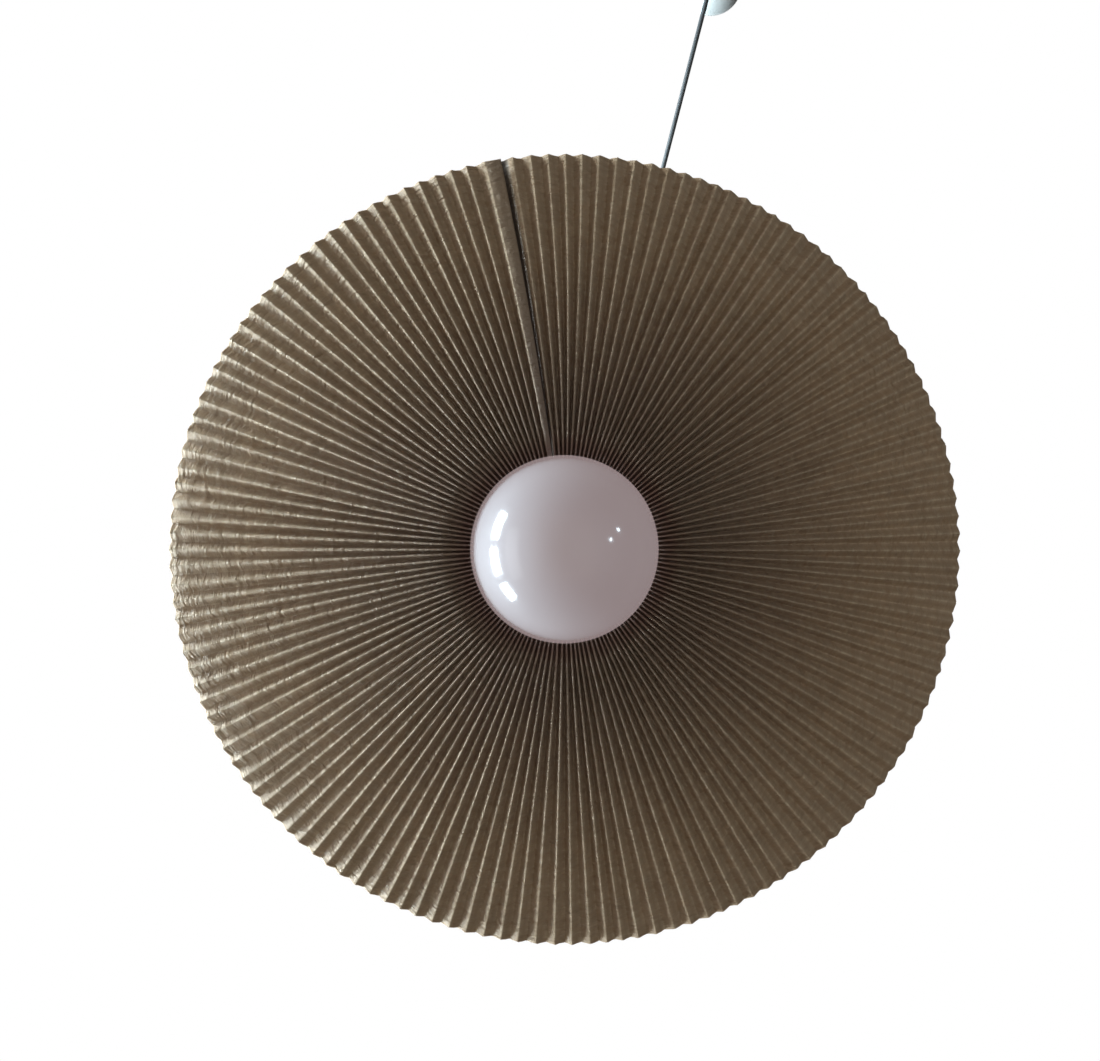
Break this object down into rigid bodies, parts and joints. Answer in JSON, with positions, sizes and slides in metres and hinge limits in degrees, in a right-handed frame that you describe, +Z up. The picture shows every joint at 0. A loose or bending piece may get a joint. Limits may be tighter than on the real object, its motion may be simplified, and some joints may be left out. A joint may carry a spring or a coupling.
{
  "type": "pleated paper pendant lamp",
  "caption": "Ceiling pendant lamp with a shallow pleated paper shade, an opal globe bulb and a cord swagged from a hook to a ceiling rose.",
  "frame": {"origin": "on the ceiling, at the middle of the hook plate's two screw holes, on the lamp's axis", "axes": "+Z up into the ceiling; +Y towards the ceiling rose, 14.5 degrees off the swag; X completes a right-handed frame"},
  "size_m": [0.5254, 1.0288, 0.7625],
  "materials": {
    "shade_paper": "stiff khaki-brown lampshade paper, fine fibres, slight crinkles",
    "cotton_string": "twisted cotton string",
    "carrier_wire": "white powder-coated steel wire",
    "black_thermoset": "moulded black thermoset, satin",
    "porcelain": "glazed porcelain insert",
    "brass": "stamped brass",
    "zinc_steel": "bright zinc-plated steel",
    "core_insulation": "PVC core insulation",
    "black_polyamide": "moulded black polyamide",
    "cord_sheath": "dark grey PVC sheath, satin",
    "opal_glass": "glossy opal-white glass",
    "nickel": "nickel-plated brass",
    "clear_glass": "clear lead glass",
    "filament": "phosphor-coated LED sticks",
    "black_glass": "black glass insulator",
    "solder": "tin solder",
    "white_plastic": "moulded white plastic, semi-gloss",
    "terminal_plastic": "natural polyamide"
  },
  "bodies": {
    "ceiling": {"hook_plate": "white_plastic", "hook_saddle": "white_plastic", "hook_saddle_screw": "zinc_steel", "hook_clamp": "white_plastic", "hook_clamp_screws": "zinc_steel", "cord_swag": "cord_sheath", "rose_plate": "zinc_steel", "rose_cord_clamp": "zinc_steel", "rose_clamp_screws": "zinc_steel", "terminal_block": "terminal_plastic", "terminal_screws": "brass", "rose_wires": "core_insulation"},
    "rose_cup": {"rose_cup": "white_plastic", "rose_cord_grip": "white_plastic", "rose_grip_nut": "zinc_steel", "rose_grip_screw": "white_plastic"},
    "pendant": {"pleated_shade": "shade_paper", "gather_string": "cotton_string", "shade_carrier": "carrier_wire", "shade_ring_upper": "black_thermoset", "shade_ring_lower": "black_thermoset", "lampholder_skirt": "black_thermoset", "lampholder_cap": "black_thermoset", "lampholder_core": "porcelain", "thread_shell": "brass", "centre_contact": "brass", "side_contact": "brass", "holder_terminals": "brass", "holder_terminal_screws": "zinc_steel", "holder_wires": "core_insulation", "cord_grip": "black_polyamide", "cord_grip_screw": "black_polyamide", "cord_drop": "cord_sheath"},
    "bulb_tip": {"bulb_insulator": "black_glass", "bulb_contact": "solder"},
    "bulb": {"bulb_globe": "opal_glass", "bulb_cap": "nickel", "bulb_stem": "clear_glass", "bulb_wires": "nickel", "bulb_filaments": "filament"}
  },
  "joints": [
    {"name": "lamp_swing", "type": "hinge", "parent": "ceiling", "child": "pendant", "pos_m": [0, 0, -0.0435], "axis": [-0.2504, 0.9681, 0], "range_deg": [-20, 20]},
    {"name": "bulb_travel", "type": "slide", "parent": "pendant", "child": "bulb_tip", "axis": [0, 0, -1], "range_m": [0, 0.0163]},
    {"name": "bulb_turn", "type": "hinge", "parent": "bulb_tip", "child": "bulb", "pos_m": [0, 0, -0.7], "axis": [0, 0, -1], "range_deg": [0, 1620]},
    {"name": "rose_cup_slide", "type": "slide", "parent": "ceiling", "child": "rose_cup", "axis": [0, 0, -1], "range_m": [0, 0.055]}
  ],
  "couplings": [
    {"joint": "bulb_travel", "follows": "bulb_turn", "m_per_rad": 0.00057614}
  ]
}
